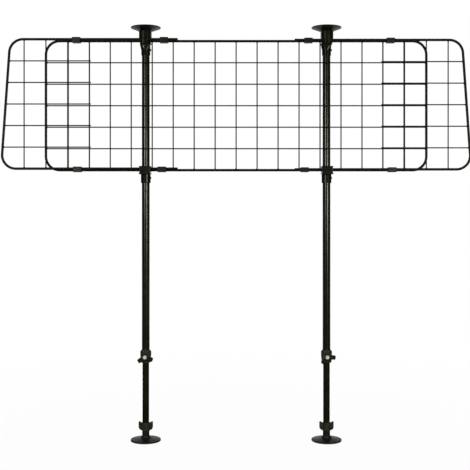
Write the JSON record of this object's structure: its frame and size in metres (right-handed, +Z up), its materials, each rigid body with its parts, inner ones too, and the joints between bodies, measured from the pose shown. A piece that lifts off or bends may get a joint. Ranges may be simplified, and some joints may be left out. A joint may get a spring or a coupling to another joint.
{
  "type": "car dog guard",
  "caption": "Welded wire-mesh barrier for a car, held between floor and roof by telescopic posts, with side panels that slide out.",
  "frame": {"origin": "on the floor, midway between the two feet", "axes": "+Z up along the posts, +X to the right along the mesh, -Y to the front, where the mesh is"},
  "size_m": [1.1366, 0.0734, 1.0086],
  "materials": {
    "black_paint": "satin black enamel on steel",
    "black_plastic": "moulded, fine grain, slightly olive black",
    "black_rubber": "smooth moulded rubber",
    "zinc": "bright zinc plate",
    "steel": "plain plated steel"
  },
  "bodies": {
    "guard": {"centre_panel": "black_paint", "left_top_inner_clip": "black_plastic", "left_top_outer_clip": "black_plastic", "left_bottom_inner_clip": "black_plastic", "left_bottom_outer_clip": "black_plastic", "right_top_inner_clip": "black_plastic", "right_top_outer_clip": "black_plastic", "right_bottom_inner_clip": "black_plastic", "right_bottom_outer_clip": "black_plastic", "left_top_pad": "black_rubber", "left_top_head": "black_plastic", "left_head_screw": "steel", "left_upper_tube": "black_paint", "left_lower_bracket": "black_plastic", "left_bracket_screw": "steel", "left_bracket_bolt": "steel", "left_joint_collar": "black_plastic", "left_clamp_nut": "steel", "right_top_pad": "black_rubber", "right_top_head": "black_plastic", "right_head_screw": "steel", "right_upper_tube": "black_paint", "right_lower_bracket": "black_plastic", "right_bracket_screw": "steel", "right_bracket_bolt": "steel", "right_joint_collar": "black_plastic", "right_clamp_nut": "steel"},
    "left_panel": {"left_side_panel": "black_paint"},
    "right_panel": {"right_side_panel": "black_paint"},
    "left_leg": {"left_lower_tube": "black_paint", "left_end_plug": "black_plastic"},
    "right_leg": {"right_lower_tube": "black_paint", "right_end_plug": "black_plastic"},
    "left_foot": {"left_foot_pad": "black_rubber", "left_foot_stud": "steel"},
    "right_foot": {"right_foot_pad": "black_rubber", "right_foot_stud": "steel"},
    "left_jack": {"left_jack_wing_nut": "black_plastic", "left_jack_nut": "steel"},
    "right_jack": {"right_jack_wing_nut": "black_plastic", "right_jack_nut": "steel"},
    "left_clamp": {"left_clamp_handle": "black_plastic", "left_handle_core": "zinc", "left_clamp_stud": "zinc"},
    "right_clamp": {"right_clamp_handle": "black_plastic", "right_handle_core": "zinc", "right_clamp_stud": "zinc"},
    "left_bracket_wing": {"left_bracket_wing_nut": "black_plastic"},
    "right_bracket_wing": {"right_bracket_wing_nut": "black_plastic"}
  },
  "joints": [
    {"name": "left_panel_slide", "type": "slide", "parent": "guard", "child": "left_panel", "axis": [-1, 0, 0], "range_m": [-0.105, 0.055]},
    {"name": "right_panel_slide", "type": "slide", "parent": "guard", "child": "right_panel", "axis": [1, 0, 0], "range_m": [-0.105, 0.055]},
    {"name": "left_leg_slide", "type": "slide", "parent": "guard", "child": "left_leg", "axis": [0, 0, -1], "range_m": [-0.14, 0.2]},
    {"name": "right_leg_slide", "type": "slide", "parent": "guard", "child": "right_leg", "axis": [0, 0, -1], "range_m": [-0.14, 0.2]},
    {"name": "left_jack_turn", "type": "hinge", "parent": "left_leg", "child": "left_jack", "pos_m": [-0.22047, 0, 0.0346], "axis": [0, 0, 1], "range_deg": [0, 4800]},
    {"name": "right_jack_turn", "type": "hinge", "parent": "right_leg", "child": "right_jack", "pos_m": [0.22047, 0, 0.0346], "axis": [0, 0, 1], "range_deg": [0, 4800]},
    {"name": "left_foot_screw", "type": "slide", "parent": "left_leg", "child": "left_foot", "axis": [0, 0, -1], "range_m": [0, 0.04]},
    {"name": "right_foot_screw", "type": "slide", "parent": "right_leg", "child": "right_foot", "axis": [0, 0, -1], "range_m": [0, 0.04]},
    {"name": "left_clamp_turn", "type": "hinge", "parent": "guard", "child": "left_clamp", "pos_m": [-0.22047, -0.0207, 0.2068], "axis": [0, -1, 0], "range_deg": [0, 540]},
    {"name": "right_clamp_turn", "type": "hinge", "parent": "guard", "child": "right_clamp", "pos_m": [0.22047, -0.0207, 0.2068], "axis": [0, -1, 0], "range_deg": [0, 540]},
    {"name": "left_bracket_wing_turn", "type": "hinge", "parent": "guard", "child": "left_bracket_wing", "pos_m": [-0.2334, 0.01957, 0.6608], "axis": [-1, 0, 0], "range_deg": [0, 720]},
    {"name": "right_bracket_wing_turn", "type": "hinge", "parent": "guard", "child": "right_bracket_wing", "pos_m": [0.2334, 0.01957, 0.6608], "axis": [1, 0, 0], "range_deg": [0, 720]}
  ],
  "couplings": [
    {"joint": "left_jack_turn", "follows": "left_foot_screw", "rad_per_m": 2094.4},
    {"joint": "right_jack_turn", "follows": "right_foot_screw", "rad_per_m": 2094.4}
  ]
}
